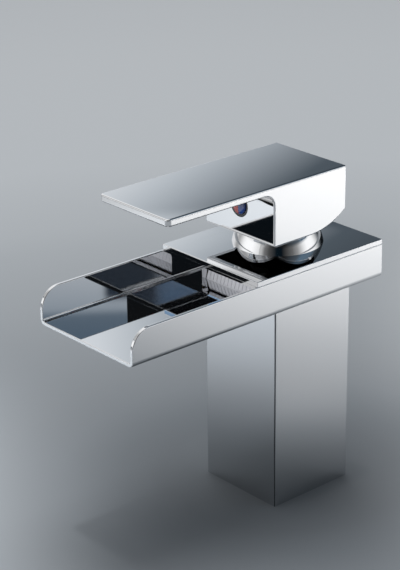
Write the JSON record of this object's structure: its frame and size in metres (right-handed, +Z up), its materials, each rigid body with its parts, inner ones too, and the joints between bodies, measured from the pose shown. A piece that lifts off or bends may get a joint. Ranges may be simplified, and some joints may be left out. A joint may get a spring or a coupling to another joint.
{
  "type": "waterfall basin faucet",
  "caption": "Single-lever waterfall basin faucet: square column, open U-shaped trough spout, flat cover, dome collar and a paddle lever; ceramic-disc cartridge inside, studs and clamp below.",
  "frame": {"origin": "on the deck, at the middle of the column's foot, on the valve axis", "axes": "+Z up, -Y along the spout towards the user, X across the width; hot is at -X"},
  "size_m": [0.066, 0.153, 0.2182],
  "materials": {
    "chrome_column": "polished chromium plating on brass",
    "chrome_trough": "mirror-polished chromium plating on sheet brass",
    "chrome_cover": "mirror-polished chromium plating",
    "chrome_dome": "turned and polished chromium plating",
    "chrome_handle": "polished chromium plating on a casting",
    "comb_plastic": "grey moulded, slight gloss",
    "raw_brass": "machined",
    "plated_steel": "zinc plated",
    "stainless_pin": "ground",
    "dark_screw": "blackened",
    "black_rubber": "moulded rubber",
    "fibre_gasket": "fibre-filled sheet",
    "seal_rubber": "moulded rubber",
    "cartridge_white": "moulded",
    "cartridge_grey": "moulded",
    "disc_ceramic": "lapped",
    "indicator_black": "gloss",
    "indicator_red": "gloss",
    "indicator_blue": "gloss"
  },
  "bodies": {
    "faucet": {"column_shell": "chrome_column", "base_plate": "raw_brass", "base_gasket": "black_rubber", "mounting_studs": "plated_steel", "clamp_rubber": "black_rubber", "clamp_plate": "plated_steel", "clamp_nuts": "plated_steel", "spout_trough": "chrome_trough", "rear_plate": "chrome_trough", "outlet_baffle": "chrome_trough", "flow_comb": "comb_plastic", "top_cover": "chrome_cover", "valve_body": "raw_brass", "valve_gasket": "fibre_gasket", "valve_lock_ring": "raw_brass", "port_seals": "seal_rubber", "disc_seals": "seal_rubber", "cartridge_base": "cartridge_white", "cartridge_shell": "cartridge_white", "fixed_disc": "disc_ceramic", "retaining_nut": "raw_brass", "dome_cap": "chrome_dome"},
    "swivel": {"cartridge_rotor": "cartridge_grey", "rotor_pin": "stainless_pin"},
    "slider": {"moving_disc": "disc_ceramic", "disc_carrier": "cartridge_grey"},
    "lever": {"lever_handle": "chrome_handle", "grub_screw": "dark_screw", "indicator_cup": "indicator_black", "indicator_hot": "indicator_red", "indicator_cold": "indicator_blue", "lever_stem": "raw_brass"}
  },
  "joints": [
    {"name": "lever_swivel", "type": "hinge", "parent": "faucet", "child": "swivel", "pos_m": [0, 0, 0.1186], "axis": [0, 0, 1], "range_deg": [-45, 45]},
    {"name": "lever_lift", "type": "hinge", "parent": "swivel", "child": "lever", "pos_m": [0, 0, 0.1186], "axis": [-1, 0, 0], "range_deg": [0, 25]},
    {"name": "disc_slide", "type": "slide", "parent": "swivel", "child": "slider", "axis": [0, -1, 0], "range_m": [0, 0.0034]}
  ],
  "couplings": [
    {"joint": "disc_slide", "follows": "lever_lift", "m_per_rad": 0.0077486}
  ]
}
